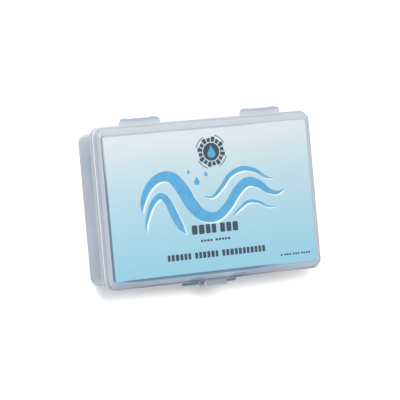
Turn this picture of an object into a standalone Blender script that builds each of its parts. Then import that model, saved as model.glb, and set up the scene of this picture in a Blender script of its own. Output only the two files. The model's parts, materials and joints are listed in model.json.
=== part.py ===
"""Detailing clay bar in its hinged plastic case.

Frame: the case lies flat on its base. +Z is up through the lid, X runs along
the long side, the hinge is at +Y and the latch at -Y. The origin is the centre
of the underside of the base tray. Units are metres; dimensions are in mm.
"""
import math

import bmesh
import bpy
from mathutils import Matrix

for old in list(bpy.data.objects):
    bpy.data.objects.remove(old, do_unlink=True)

MM = 0.001
SIDES = ((-1, "left"), (1, "right"))   # -X and +X

# ---------------------------------------------------------------- case
RIM_X, RIM_Y = 118.0, 80.0        # outline of the meeting rims of base and lid
HALF_X, HALF_Y = RIM_X / 2, RIM_Y / 2
RIM_R = 4.8                       # plan radius of the rim corners
HEIGHT = 28.0                     # closed case, table to lid top
PART_Z = 22.6                     # parting plane between base and lid
PART_GAP = 0.3                    # clearance between the two rims
BASE_RIM_TOP = PART_Z - PART_GAP / 2
LID_RIM_LOW = PART_Z + PART_GAP / 2
RIM_TOP = 24.13                   # top of the lid's rim ledge

# ---------------------------------------------------------------- base tray
BASE_RIM_H = 2.85                 # height of the base's rim strip
BASE_RIM_TOP_R, BASE_RIM_FOOT_R = 0.25, 0.5
BASE_INSET_X, BASE_INSET_Y = 1.6, 2.3   # rim outline to the base wall, at the strip
WALL_X, WALL_Y = HALF_X - BASE_INSET_X, HALF_Y - BASE_INSET_Y
BASE_DRAFT = 0.3                  # how much further in the wall is at the foot
BASE_CORNER_R = 4.5
BASE_FOOT_R = 1.4                 # rounding of the lower edge
BASE_BODY_DROP = 1.0              # top of the drafted body, below the rim
BASE_WALL = 1.9
BASE_FLOOR = 1.5
ROOM_EASE = 0.1                   # extra inset of the room, beyond the wall
ROOM_X = WALL_X - BASE_WALL - ROOM_EASE
ROOM_Y = WALL_Y - BASE_WALL - ROOM_EASE
ROOM_R, ROOM_FOOT_R = 1.9, 1.0
ROOM_DRAFT = 0.25                 # taken over the room cutter's whole height
TONGUE_T = 1.0                    # locating tongue standing inside the lid
TONGUE_TOP = 24.5
TONGUE_ROOT = 1.5                 # its lower end, below the rim
TONGUE_TOP_R = 0.3

# ears and ledge on the latch side
EAR_OUT, EAR_IN, EAR_REACH = 13.8, 7.0, 1.9
EAR_LOW, EAR_KNEE, EAR_TOP = 13.8, 16.8, 20.4
EAR_CHAMFER = 0.5                 # lower outer corner
EAR_TOP_REACH = 0.1               # past the rim outline, at the top
EAR_ROUND = 0.45                  # edges away from the latch
LEDGE_LOW, LEDGE_HIGH, LEDGE_Y = 17.1, 18.5, -41.2
LEDGE_BITE = 0.6                  # ledge ends run into the ears
WALL_BITE = 0.9                   # ears and ledge run into the wall

# ---------------------------------------------------------------- lid
LID_INSET = 1.2                   # rim outline to the lid's raised body
LID_X, LID_Y = HALF_X - LID_INSET, HALF_Y - LID_INSET
LID_CORNER_R = 4.2
LID_EDGE_R = 1.3                  # rounding of the lid's top edge
LID_BODY_SINK = 0.6               # the body starts this far below the ledge top
LID_RIM_TOP_R, LID_RIM_FOOT_R = 0.4, 0.2
LID_WALL = 1.1
LID_ROOF = 1.3
LID_ROOM_R = 0.6                  # rounding under the roof

# ---------------------------------------------------------------- hinges
HINGE_X = 32.8                    # each hinge, from the middle
HINGE_Y, HINGE_Z = 41.8, 21.9     # hinge axis, parallel to X
HOOD_W, HOOD_R, HOOD_REACH = 21.8, 2.6, 3.3
HOOD_TOP = 23.93
HOOD_ROUND = 1.5
HOOD_ROOT = 1.2                   # how far the hood runs inside the rim outline
HOOD_LIFT = 0.003                 # keeps its underside off the rim's plane
SECTION_Y, SECTION_LOW = HALF_Y - 2.0, 20.0   # bounds of the hood's trimming section
SECTION_DROP = 0.001              # keeps the section's top off the hood's plane
CHEEK_OUT, CHEEK_IN = 9.0, 6.05   # the hood's two knuckles, from its middle
KNUCKLE_R, KNUCKLE_SIDES = 1.5, 28
KNUCKLE_BITE = 0.4                # the block over the knuckles enters the hood
KNUCKLE_SKIN = 0.02               # that block's faces, inside the knuckle radius
END_SKIN = 0.01                   # keeps block ends off the planes of the rod ends
LUG_HALF = 5.75
LUG_R = 1.15
NECK_ROOT = 0.8                   # neck of the lug: inside the rim outline
NECK_SHORT = 0.2                  # and stopping short of the axis
NECK_BELOW, NECK_ABOVE = 0.75, 0.36
LUG_ROOM_GAP = 0.25               # lug room: rim outline to its near side
LUG_ROOM_REACH, LUG_ROOM_DEPTH = 5.0, 4.0
HOOD_SKIN = 0.63                  # hood left over the lug room
BORE_R, PIN_R = 0.70, 0.60
PIN_REACH = 2.6                   # how far each stub pin enters the lug
PIN_ROOT = 0.8                    # and how far it runs into its knuckle

# ---------------------------------------------------------------- latch tab
LATCH_W, LATCH_REACH = 11.6, 3.3  # the reach is that of the grip lip
LIP, LATCH_T = 0.4, 1.4           # lip over the face; thickness of the tab
LATCH_LOW, LATCH_ROUND = 14.8, 1.5   # lower edge; rounding at the shoulder
LIP_START, LIP_FULL = 1.5, 1.0    # where the lip leaves the face and is full, above the foot
LIP_R = 0.5                       # rounding at the foot of the lip
LATCH_GUSSET = 19.1               # the tab is solid from here up to its root
LATCH_HINGE_Y, LATCH_HINGE_Z = -40.6, 23.5
BEAD_R, BEAD_Z, BEAD_HALF = 0.7, 16.2, 5.0
BEAD_SINK = 0.2                   # how far the bead is sunk in the tab

# ---------------------------------------------------------------- labels
LABEL_X, LABEL_Y, LABEL_R = 111.7, 71.3, 1.8
LABEL_SHIFT = -0.3                # the lid label sits a little nearer the latch
BASE_LABEL_X, BASE_LABEL_Y, BASE_LABEL_R = 96.0, 58.0, 2.4
BASE_RECESS_R = 2.6
LABEL_T = 0.15
LABEL_RECESS = 0.25
LABEL_MARGIN = 0.3
GLUE_GAP = 0.05

# ---------------------------------------------------------------- wrapped bar
BAR_X, BAR_Y, BAR_T = 100.0, 66.0, 17.5   # 200 g of clay at about 1.73 g/cc
BAR_SHIFT = -2.6                  # the bar lies nearer the -X end of the tray
BAR_R, BAR_EDGE_R = 3.0, 1.6
FILM_GAP, FILM_T = 0.3, 0.25
FLOOR_GAP = 0.3                   # tray floor to film
FILM_LOW = BASE_FLOOR + FLOOR_GAP
BAR_LOW = FILM_LOW + FILM_T + FILM_GAP
FILM_R, FILM_EDGE_R = BAR_R + 0.5, 1.9              # outside of the film
FILM_ROOM_R, FILM_ROOM_EDGE_R = BAR_R + 0.25, 1.7   # inside of the film
SLOT_IN, SLOT_OUT = 1.0, 2.0      # slot in the film, either side of the bar's +X end
SLOT_HALF_Y, SLOT_HALF_Z = 12.0, 1.5

# ---------------------------------------------------------------- modelling
ROUND = 20                        # sides of small round features
OVERCUT = 1.0                     # cutters run past the surface they open
ROOM_OVERCUT = 2.0                # the same, for the open sides of the two rooms
FLAT = 1e-4                       # heights closer than this are level

parts = bpy.data.collections.new("clay_bar_case")
cutters = bpy.data.collections.new("clay_bar_case_cutters")
for collection in (parts, cutters):
    bpy.context.scene.collection.children.link(collection)


# ---------------------------------------------------------------- shapes
def block(x0, x1, y0, y1, z0, z1, foot=0.0):
    """A box; foot is the distance its lower face is drawn in on every side."""
    shape = bmesh.new()
    bmesh.ops.create_cube(shape, size=1.0)
    for vert in shape.verts:
        low = vert.co.z < 0.0
        inset = foot if low else 0.0
        vert.co.x = (x1 - inset) if vert.co.x > 0 else (x0 + inset)
        vert.co.y = (y1 - inset) if vert.co.y > 0 else (y0 + inset)
        vert.co.z = z0 if low else z1
    return shape


def bevel(shape, edges, radius, segments):
    bmesh.ops.bevel(
        shape, geom=edges, offset=radius, offset_type="OFFSET", segments=segments,
        profile=0.5, affect="EDGES", clamp_overlap=True,
    )


def upright(shape, beyond_y=-math.inf):
    """Edges running between the top and bottom faces, at y above beyond_y."""
    found = []
    for edge in shape.edges:
        start, end = (vert.co for vert in edge.verts)
        if abs(start.z - end.z) > FLAT and start.y > beyond_y:
            found.append(edge)
    return found


def level(shape, z):
    """Outline edges lying in the plane z."""
    return [
        edge for edge in shape.edges
        if all(abs(vert.co.z - z) < FLAT for vert in edge.verts)
        and any(abs(face.normal.z) < 0.9 for face in edge.link_faces)
    ]


def slab(half_x, half_y, z0, z1, corner, segments=6, foot=0.0,
         top_r=0.0, foot_r=0.0, edge_segments=4, centre_x=0.0, centre_y=0.0):
    """A rounded rectangle on plan, with optional draft and rounded edges."""
    shape = block(centre_x - half_x, centre_x + half_x,
                  centre_y - half_y, centre_y + half_y, z0, z1, foot)
    bevel(shape, upright(shape), corner, segments)
    shape.normal_update()
    if top_r:
        bevel(shape, level(shape, z1), top_r, edge_segments)
        shape.normal_update()
    if foot_r:
        bevel(shape, level(shape, z0), foot_r, edge_segments)
    return shape


def rod(x0, x1, y, z, radius, sides=ROUND):
    """A round bar along X."""
    shape = bmesh.new()
    bmesh.ops.create_cone(
        shape, cap_ends=True, segments=sides, radius1=radius, radius2=radius,
        depth=x1 - x0,
        matrix=Matrix.Translation(((x0 + x1) / 2, y, z))
        @ Matrix.Rotation(math.pi / 2, 4, "Y")
        @ Matrix.Rotation(math.pi / sides, 4, "Z"),
    )
    return shape


def arc(y, z, radius, start, end, steps):
    """Points (y, z) along an arc, both ends included; angles in degrees."""
    angles = [math.radians(start + (end - start) * i / steps) for i in range(steps + 1)]
    return [(y + radius * math.cos(angle), z + radius * math.sin(angle)) for angle in angles]


def prism(section, x0, x1):
    """A (y, z) outline extruded along X."""
    shape = bmesh.new()
    near = shape.faces.new([shape.verts.new((x0, y, z)) for y, z in section])
    made = bmesh.ops.extrude_face_region(shape, geom=[near])
    moved = [item for item in made["geom"] if isinstance(item, bmesh.types.BMVert)]
    bmesh.ops.translate(shape, vec=(x1 - x0, 0.0, 0.0), verts=moved)
    return shape


# ---------------------------------------------------------------- objects
def new_object(name, shape, collection, origin=(0.0, 0.0, 0.0)):
    """Makes an object of a bmesh drawn in case coordinates (mm)."""
    bmesh.ops.transform(
        shape,
        matrix=Matrix.Scale(MM, 4) @ Matrix.Translation([-c for c in origin]),
        verts=shape.verts,
    )
    bmesh.ops.recalc_face_normals(shape, faces=shape.faces)
    mesh = bpy.data.meshes.new(name)
    shape.to_mesh(mesh)
    shape.free()
    obj = bpy.data.objects.new(name, mesh)
    obj.location = [c * MM for c in origin]
    collection.objects.link(obj)
    return obj


def add_part(name, shape, mat, origin=(0.0, 0.0, 0.0)):
    obj = new_object(name, shape, parts, origin)
    obj.data.materials.append(mat)
    return obj


def add_cutter(name, shape):
    """A hidden helper that a boolean modifier works with."""
    obj = new_object(name, shape, cutters)
    obj.hide_render = True
    obj.display_type = "WIRE"
    return obj


def boolean(obj, kind, tool):
    mod = obj.modifiers.new(f"{kind.lower()}_{tool.name}", "BOOLEAN")
    mod.operation = kind
    mod.solver = "EXACT"
    mod.object = tool


def join(obj, name, shape):
    boolean(obj, "UNION", add_cutter(name, shape))


def cut(obj, name, shape):
    boolean(obj, "DIFFERENCE", add_cutter(name, shape))


def shade(obj, angle=40.0):
    """Smooth shading, with edges sharper than the angle (degrees) kept sharp."""
    obj.data.shade_smooth()
    obj.data.set_sharp_from_angle(angle=math.radians(angle))


def material(name, colour, roughness, alpha=1.0):
    mat = bpy.data.materials.new(name)
    mat.use_nodes = True
    shader = mat.node_tree.nodes["Principled BSDF"]
    shader.inputs["Base Color"].default_value = (*colour, 1.0)
    shader.inputs["Roughness"].default_value = roughness
    shader.inputs["Metallic"].default_value = 0.0
    shader.inputs["Alpha"].default_value = alpha
    mat.diffuse_color = (*colour, alpha)
    return mat


# ---------------------------------------------------------------- base tray
def add_catch(base):
    """Two ears and the ledge between them, behind the latch tab."""
    root_y, reach_y = -WALL_Y + WALL_BITE, -HALF_Y - EAR_REACH
    # each ear leans in at the top, onto the rim strip
    section = [
        (root_y, EAR_LOW), (reach_y + EAR_CHAMFER, EAR_LOW),
        (reach_y, EAR_LOW + EAR_CHAMFER), (reach_y, EAR_KNEE),
        (-HALF_Y + EAR_TOP_REACH, EAR_TOP), (root_y, EAR_TOP),
    ]
    for side, tag in SIDES:
        ear = prism(section, *sorted((side * EAR_IN, side * EAR_OUT)))
        ear.normal_update()
        # outer edges on the ear's far face, clear of the rim
        far = [edge for edge in ear.edges
               if all(abs(vert.co.x) > EAR_IN + 1.0 and vert.co.y < -HALF_Y - 0.2
                      for vert in edge.verts)]
        bevel(ear, far, EAR_ROUND, 3)
        join(base, f"catch_ear_{tag}", ear)
    join(base, "catch_ledge",
         block(-EAR_IN - LEDGE_BITE, EAR_IN + LEDGE_BITE, LEDGE_Y, root_y,
               LEDGE_LOW, LEDGE_HIGH))


def add_lug(base, side, tag):
    """A bored hinge lug on its neck."""
    mid = side * HINGE_X
    join(base, f"hinge_lug_{tag}",
         rod(mid - LUG_HALF, mid + LUG_HALF, HINGE_Y, HINGE_Z, LUG_R))
    join(base, f"hinge_neck_{tag}",
         block(mid - LUG_HALF + END_SKIN, mid + LUG_HALF - END_SKIN, HALF_Y - NECK_ROOT,
               HINGE_Y - NECK_SHORT, HINGE_Z - NECK_BELOW, HINGE_Z + NECK_ABOVE))
    cut(base, f"hinge_bore_{tag}",
        rod(mid - LUG_HALF - OVERCUT, mid + LUG_HALF + OVERCUT, HINGE_Y, HINGE_Z, BORE_R))


def build_base(mat):
    base = add_part(
        "base_tray",
        slab(WALL_X, WALL_Y, 0.0, BASE_RIM_TOP - BASE_BODY_DROP, BASE_CORNER_R,
             foot=BASE_DRAFT, foot_r=BASE_FOOT_R),
        mat,
    )
    join(base, "base_rim_strip",
         slab(HALF_X, HALF_Y, BASE_RIM_TOP - BASE_RIM_H, BASE_RIM_TOP, RIM_R,
              top_r=BASE_RIM_TOP_R, foot_r=BASE_RIM_FOOT_R, edge_segments=2))
    join(base, "base_tongue",
         slab(ROOM_X + TONGUE_T, ROOM_Y + TONGUE_T, BASE_RIM_TOP - TONGUE_ROOT,
              TONGUE_TOP, ROOM_R + TONGUE_T, top_r=TONGUE_TOP_R, edge_segments=2))
    add_catch(base)
    for side, tag in SIDES:
        add_lug(base, side, tag)
    cut(base, "base_room",
        slab(ROOM_X, ROOM_Y, BASE_FLOOR, TONGUE_TOP + ROOM_OVERCUT, ROOM_R,
             foot=ROOM_DRAFT, foot_r=ROOM_FOOT_R, edge_segments=3))
    cut(base, "base_label_recess",
        slab(BASE_LABEL_X / 2 + LABEL_MARGIN, BASE_LABEL_Y / 2 + LABEL_MARGIN,
             -OVERCUT, LABEL_RECESS + GLUE_GAP, BASE_RECESS_R))
    shade(base)


# ---------------------------------------------------------------- lid
def add_hood(lid, mid, tag):
    back_y = HALF_Y + HOOD_REACH
    shape = block(mid - HOOD_W / 2, mid + HOOD_W / 2, HALF_Y - HOOD_ROOT, back_y,
                  LID_RIM_LOW + HOOD_LIFT, HOOD_TOP)
    bevel(shape, upright(shape, beyond_y=HALF_Y), HOOD_R, 6)
    hood = add_cutter(f"hood_{tag}", shape)
    # the hood's back edge turns down in a quarter round over the knuckles
    section = [
        (SECTION_Y, SECTION_LOW), (SECTION_Y, HOOD_TOP - SECTION_DROP),
        *arc(back_y - HOOD_ROUND, HOOD_TOP - HOOD_ROUND, HOOD_ROUND, 90.0, 0.0, 7),
        (back_y, SECTION_LOW),
    ]
    boolean(hood, "INTERSECT", add_cutter(
        f"hood_section_{tag}", prism(section, mid - HOOD_W, mid + HOOD_W)))
    boolean(lid, "UNION", hood)


def add_knuckles(lid, mid, tag):
    """One long knuckle, parted by the lug room, with a stub pin on each half."""
    join(lid, f"knuckle_{tag}",
         rod(mid - CHEEK_OUT, mid + CHEEK_OUT, HINGE_Y, HINGE_Z, KNUCKLE_R, KNUCKLE_SIDES))
    join(lid, f"knuckle_back_{tag}",
         block(mid - CHEEK_OUT + END_SKIN, mid + CHEEK_OUT - END_SKIN,
               HINGE_Y - KNUCKLE_R + KNUCKLE_SKIN, HINGE_Y + KNUCKLE_R - KNUCKLE_SKIN,
               HINGE_Z, LID_RIM_LOW + KNUCKLE_BITE))
    cut(lid, f"lug_room_{tag}",
        block(mid - CHEEK_IN, mid + CHEEK_IN, HALF_Y + LUG_ROOM_GAP,
              HALF_Y + LUG_ROOM_REACH, HINGE_Z - LUG_ROOM_DEPTH, HOOD_TOP - HOOD_SKIN))
    for end, word in ((-1, "a"), (1, "b")):
        tip_x = mid + end * (LUG_HALF - PIN_REACH)
        root_x = mid + end * (CHEEK_IN + PIN_ROOT)
        join(lid, f"stub_pin_{tag}_{word}",
             rod(*sorted((tip_x, root_x)), HINGE_Y, HINGE_Z, PIN_R))


def build_lid(mat):
    lid = add_part(
        "lid",
        slab(LID_X, LID_Y, RIM_TOP - LID_BODY_SINK, HEIGHT, LID_CORNER_R,
             top_r=LID_EDGE_R),
        mat, (0.0, HINGE_Y, HINGE_Z),
    )
    join(lid, "lid_rim_ledge",
         slab(HALF_X, HALF_Y, LID_RIM_LOW, RIM_TOP, RIM_R,
              top_r=LID_RIM_TOP_R, foot_r=LID_RIM_FOOT_R, edge_segments=2))
    for side, tag in SIDES:
        add_hood(lid, side * HINGE_X, tag)
        add_knuckles(lid, side * HINGE_X, tag)
    cut(lid, "lid_room",
        slab(LID_X - LID_WALL, LID_Y - LID_WALL, LID_RIM_LOW - ROOM_OVERCUT,
             HEIGHT - LID_ROOF, LID_CORNER_R - LID_WALL, top_r=LID_ROOM_R,
             edge_segments=2))
    cut(lid, "lid_label_recess",
        slab(LABEL_X / 2 + LABEL_MARGIN, LABEL_Y / 2 + LABEL_MARGIN,
             HEIGHT - LABEL_RECESS, HEIGHT + OVERCUT, LABEL_R + LABEL_MARGIN,
             centre_y=LABEL_SHIFT))
    shade(lid)


# ---------------------------------------------------------------- other pieces
def build_latch(mat):
    outer_y = -HALF_Y - LATCH_REACH
    face_y, inner_y = outer_y + LIP, outer_y + LIP + LATCH_T
    root_y = -HALF_Y - PART_GAP
    # root level with the rim ledge, rounded shoulder, plain face, grip lip at the foot
    section = [
        (root_y, RIM_TOP),
        *arc(face_y + LATCH_ROUND, RIM_TOP - LATCH_ROUND, LATCH_ROUND, 90.0, 180.0, 6),
        (face_y, LATCH_LOW + LIP_START), (outer_y, LATCH_LOW + LIP_FULL),
        *arc(outer_y + LIP_R, LATCH_LOW + LIP_R, LIP_R, 180.0, 270.0, 3),
        (inner_y, LATCH_LOW), (inner_y, LATCH_GUSSET), (root_y, LATCH_GUSSET),
    ]
    latch = add_part("latch_tab", prism(section, -LATCH_W / 2, LATCH_W / 2), mat,
                     (0.0, LATCH_HINGE_Y, LATCH_HINGE_Z))
    join(latch, "latch_bead",
         rod(-BEAD_HALF, BEAD_HALF, inner_y + BEAD_SINK - BEAD_R, BEAD_Z, BEAD_R))
    shade(latch)


def build_lid_label(mat):
    low = HEIGHT - LABEL_RECESS + GLUE_GAP
    add_part("lid_label",
             slab(LABEL_X / 2, LABEL_Y / 2, low, low + LABEL_T, LABEL_R, 8,
                  centre_y=LABEL_SHIFT),
             mat)


def build_base_label(mat):
    add_part("base_label",
             slab(BASE_LABEL_X / 2, BASE_LABEL_Y / 2, LABEL_RECESS - LABEL_T,
                  LABEL_RECESS, BASE_LABEL_R),
             mat)


def bar_slab(grow, z0, z1, corner, edge_r):
    """The bar's form, grown on plan by a distance on every side."""
    return slab(BAR_X / 2 + grow, BAR_Y / 2 + grow, z0, z1, corner, 5,
                top_r=edge_r, foot_r=edge_r, edge_segments=3, centre_x=BAR_SHIFT)


def build_clay(mat):
    clay = add_part("clay_bar",
                    bar_slab(0.0, BAR_LOW, BAR_LOW + BAR_T, BAR_R, BAR_EDGE_R),
                    mat, (BAR_SHIFT, 0.0, BAR_LOW))
    shade(clay)


def build_film(mat):
    """A hollow wrap round the bar, with a slot at its +X end."""
    bar_top, bar_end = BAR_LOW + BAR_T, BAR_SHIFT + BAR_X / 2
    bar_mid = BAR_LOW + BAR_T / 2
    film = add_part("film_wrap",
                    bar_slab(FILM_GAP + FILM_T, FILM_LOW, bar_top + FILM_GAP + FILM_T,
                             FILM_R, FILM_EDGE_R),
                    mat, (BAR_SHIFT, 0.0, FILM_LOW))
    cut(film, "film_room",
        bar_slab(FILM_GAP, BAR_LOW - FILM_GAP, bar_top + FILM_GAP,
                 FILM_ROOM_R, FILM_ROOM_EDGE_R))
    cut(film, "film_open_end",
        block(bar_end - SLOT_IN, bar_end + SLOT_OUT, -SLOT_HALF_Y, SLOT_HALF_Y,
              bar_mid - SLOT_HALF_Z, bar_mid + SLOT_HALF_Z))
    shade(film)


build_base(material("frosted_plastic", colour=(0.62, 0.68, 0.76), roughness=0.35, alpha=0.75))
build_lid(material("frosted_plastic_lid", colour=(0.66, 0.72, 0.80), roughness=0.33, alpha=0.75))
build_latch(material("frosted_plastic_latch", colour=(0.55, 0.62, 0.68), roughness=0.35,
                     alpha=0.8))
build_lid_label(material("printed_label", colour=(0.48, 0.72, 0.83), roughness=0.25))
build_base_label(material("plain_label", colour=(0.82, 0.86, 0.88), roughness=0.4))
build_clay(material("detailing_clay", colour=(0.07, 0.26, 0.62), roughness=0.55))
build_film(material("clear_film", colour=(0.85, 0.9, 0.95), roughness=0.12, alpha=0.25))
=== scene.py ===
"""Looks for the detailing clay bar in its hinged frosted case.

Lengths in the helpers are in mm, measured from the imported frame's boxes.
"""
import json
import math
import random

import bmesh
import bpy
from mathutils import Matrix, Vector, noise


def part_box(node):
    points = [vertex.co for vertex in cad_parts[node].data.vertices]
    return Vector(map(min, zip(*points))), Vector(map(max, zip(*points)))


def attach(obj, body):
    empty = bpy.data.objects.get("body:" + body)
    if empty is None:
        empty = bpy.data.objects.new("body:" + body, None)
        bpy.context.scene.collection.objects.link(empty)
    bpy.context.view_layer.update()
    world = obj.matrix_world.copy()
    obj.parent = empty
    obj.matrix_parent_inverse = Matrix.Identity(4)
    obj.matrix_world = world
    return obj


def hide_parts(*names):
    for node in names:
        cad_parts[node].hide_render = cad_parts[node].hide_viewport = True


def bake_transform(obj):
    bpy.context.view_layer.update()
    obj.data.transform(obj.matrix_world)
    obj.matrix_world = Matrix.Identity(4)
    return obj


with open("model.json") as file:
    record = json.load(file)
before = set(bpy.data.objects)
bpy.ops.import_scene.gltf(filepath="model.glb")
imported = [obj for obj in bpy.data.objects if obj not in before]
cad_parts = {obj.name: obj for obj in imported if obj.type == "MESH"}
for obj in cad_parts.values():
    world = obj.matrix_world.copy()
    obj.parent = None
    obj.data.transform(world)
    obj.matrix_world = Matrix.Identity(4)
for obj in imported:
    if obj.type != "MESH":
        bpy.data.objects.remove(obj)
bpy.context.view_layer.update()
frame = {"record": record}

MM = 0.001

# ------------------------------------------------------------------ frame sizes
JOINTS = {j["name"]: j for j in frame["record"]["behaviour"]["joints"]}


def mm_box(node):
    lo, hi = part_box(node)
    return [v / MM for v in lo], [v / MM for v in hi]


base_lo, base_hi = mm_box("base_tray")
lid_lo, lid_hi = mm_box("lid")
latch_lo, latch_hi = mm_box("latch_tab")
lab_lo, lab_hi = mm_box("lid_label")
blab_lo, blab_hi = mm_box("base_label")
bar_lo, bar_hi = mm_box("clay_bar")
film_lo, film_hi = mm_box("film_wrap")

HX = base_hi[0]                       # half length of the rims
HY = -lid_lo[1]                       # half width of the rims
TOP = lid_hi[2]                       # lid top
HINGE_Y = JOINTS["lid_hinge"]["pos_m"][1] / MM
HINGE_Z = JOINTS["lid_hinge"]["pos_m"][2] / MM
HINGE_X, HINGE_SHIFT = 32.8, -0.4     # each hinge from the middle, and both to the left
LABEL_TRIM = 0.32                     # half of what the print is trimmed by on its right
FLEX_Y = JOINTS["latch_flex"]["pos_m"][1] / MM
TONGUE_TOP = base_hi[2]
RIM_TOP = latch_hi[2]                 # ledge of the lid, level with the latch's root
HOOD_TOP = RIM_TOP - 0.2
PART = 22.6                           # parting plane
BASE_RIM = PART - 0.15
LID_RIM = PART + 0.15
RIM_R = 4.8
SIDE_Y = 0.7                          # the base's long walls stand this much further in
HOOD_OUT = lid_hi[1]
LATCH_OUT = latch_lo[1]
LATCH_LOW = latch_lo[2]
EAR_OUT = base_lo[1]


# ------------------------------------------------------------------ mesh helpers
def rrect(hx, hy, r, n=10, cx=0.0, cy=0.0):
    """Points of a rounded rectangle, anticlockwise."""
    points = []
    for k, (sx, sy) in enumerate(((1, 1), (-1, 1), (-1, -1), (1, -1))):
        ox, oy = cx + sx * (hx - r), cy + sy * (hy - r)
        for i in range(n + 1):
            t = math.pi / 2 * (k + i / n)
            points.append((ox + r * math.cos(t), oy + r * math.sin(t)))
    return points


def rounded_path(points, seg=6):
    """A (d, z) polyline whose corners, given as (d, z, radius), become arcs."""
    out = []
    for i, (d, z, r) in enumerate(points):
        if i in (0, len(points) - 1) or r <= 0:
            out.append((d, z))
            continue
        p = Vector((d, z))
        a = Vector(points[i - 1][:2]) - p
        b = Vector(points[i + 1][:2]) - p
        a.normalize()
        b.normalize()
        turn = a.angle(b)
        reach = r / math.tan(turn / 2)
        start, end = p + a * reach, p + b * reach
        centre = p + (a + b).normalized() * (r / math.sin(turn / 2))
        u, v = start - centre, end - centre
        sweep = u.angle(v)
        for k in range(seg + 1):
            t = k / seg
            w = (u * math.sin((1 - t) * sweep) + v * math.sin(t * sweep)) / math.sin(sweep)
            out.append(tuple(centre + w))
    return out


def loft(rings):
    """A closed body from rings of equal point counts, each a list of (x, y, z)."""
    bm = bmesh.new()
    made = [[bm.verts.new(p) for p in ring] for ring in rings]
    n = len(made[0])
    for a, b in zip(made, made[1:]):
        for i in range(n):
            bm.faces.new((a[i], a[(i + 1) % n], b[(i + 1) % n], b[i]))
    bm.faces.new(list(reversed(made[0])))
    bm.faces.new(made[-1])
    bmesh.ops.recalc_face_normals(bm, faces=bm.faces)
    return bm


def ring(hx, hy, r, z, n=10, cx=0.0, cy=0.0):
    return [(x, y, z) for x, y in rrect(hx, hy, max(r, 0.05), n, cx, cy)]


def block(x0, x1, y0, y1, z0, z1):
    bm = bmesh.new()
    bmesh.ops.create_cube(bm, size=1.0)
    for v in bm.verts:
        v.co.x = x1 if v.co.x > 0 else x0
        v.co.y = y1 if v.co.y > 0 else y0
        v.co.z = z1 if v.co.z > 0 else z0
    return bm


def bevel(bm, edges, radius, segments):
    bmesh.ops.bevel(
        bm, geom=edges, offset=radius, offset_type="OFFSET", segments=segments,
        profile=0.5, affect="EDGES", clamp_overlap=True,
    )
    bm.normal_update()


def upright(bm, test=lambda x, y: True):
    return [e for e in bm.edges
            if abs(e.verts[0].co.z - e.verts[1].co.z) > 1e-4
            and test(e.verts[0].co.x, e.verts[0].co.y)]


def rod(x0, x1, y, z, radius, sides=40):
    bm = bmesh.new()
    bmesh.ops.create_cone(
        bm, cap_ends=True, segments=sides, radius1=radius, radius2=radius,
        depth=x1 - x0,
        matrix=Matrix.Translation(((x0 + x1) / 2, y, z)) @ Matrix.Rotation(math.pi / 2, 4, "Y"),
    )
    return bm


def prism(section, x0, x1):
    """A (y, z) outline extruded along X."""
    bm = bmesh.new()
    near = bm.faces.new([bm.verts.new((x0, y, z)) for y, z in section])
    made = bmesh.ops.extrude_face_region(bm, geom=[near])
    bmesh.ops.translate(
        bm, vec=(x1 - x0, 0, 0),
        verts=[v for v in made["geom"] if isinstance(v, bmesh.types.BMVert)],
    )
    bmesh.ops.recalc_face_normals(bm, faces=bm.faces)
    return bm


def plate(outline, z0, z1):
    """A flat (x, y) outline extruded from z0 to z1."""
    bm = bmesh.new()
    near = bm.faces.new([bm.verts.new((x, y, z0)) for x, y in outline])
    made = bmesh.ops.extrude_face_region(bm, geom=[near])
    bmesh.ops.translate(
        bm, vec=(0, 0, z1 - z0),
        verts=[v for v in made["geom"] if isinstance(v, bmesh.types.BMVert)],
    )
    bmesh.ops.recalc_face_normals(bm, faces=bm.faces)
    return bm


def arc(cx, cy, r, a0, a1, n):
    return [(cx + r * math.cos(math.radians(a0 + (a1 - a0) * i / n)),
             cy + r * math.sin(math.radians(a0 + (a1 - a0) * i / n))) for i in range(n + 1)]


def to_object(name, bm):
    """Links a bmesh drawn in mm as an object in metres."""
    bmesh.ops.transform(bm, matrix=Matrix.Scale(MM, 4), verts=bm.verts)
    mesh = bpy.data.meshes.new(name)
    bm.to_mesh(mesh)
    bm.free()
    obj = bpy.data.objects.new(name, mesh)
    bpy.context.scene.collection.objects.link(obj)
    return obj


def settle(obj):
    """Replaces an object's mesh with its evaluated one and drops the modifiers."""
    dg = bpy.context.evaluated_depsgraph_get()
    mesh = bpy.data.meshes.new_from_object(obj.evaluated_get(dg), depsgraph=dg)
    old = obj.data
    obj.modifiers.clear()
    obj.data = mesh
    if old.users == 0:
        bpy.data.meshes.remove(old)


def combine(obj, steps):
    """Applies a list of (operation, bmesh or object) Booleans to an object."""
    for kind, tool in steps:
        if not isinstance(tool, bpy.types.Object):
            tool = to_object("tool", tool)
        mod = obj.modifiers.new("cut", "BOOLEAN")
        mod.operation = kind
        mod.solver = "EXACT"
        mod.object = tool
        settle(obj)
        bpy.data.objects.remove(tool)


def soften(obj, width, segments=3, angle=35.0):
    mod = obj.modifiers.new("soft", "BEVEL")
    mod.width = width * MM
    mod.segments = segments
    mod.limit_method = "ANGLE"
    mod.angle_limit = math.radians(angle)
    settle(obj)


def finish_mesh(obj, angle=30.0):
    """Removes sliver vertices, shades smooth across fillets and keeps edges crisp."""
    bm = bmesh.new()
    bm.from_mesh(obj.data)
    bmesh.ops.remove_doubles(bm, verts=bm.verts, dist=1.5e-6)
    bmesh.ops.dissolve_degenerate(bm, dist=1e-6, edges=bm.edges)
    bm.to_mesh(obj.data)
    bm.free()
    obj.data.shade_smooth()
    obj.data.set_sharp_from_angle(angle=math.radians(angle))
    mod = obj.modifiers.new("normals", "WEIGHTED_NORMAL")
    mod.keep_sharp = True
    mod.weight = 80


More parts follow.
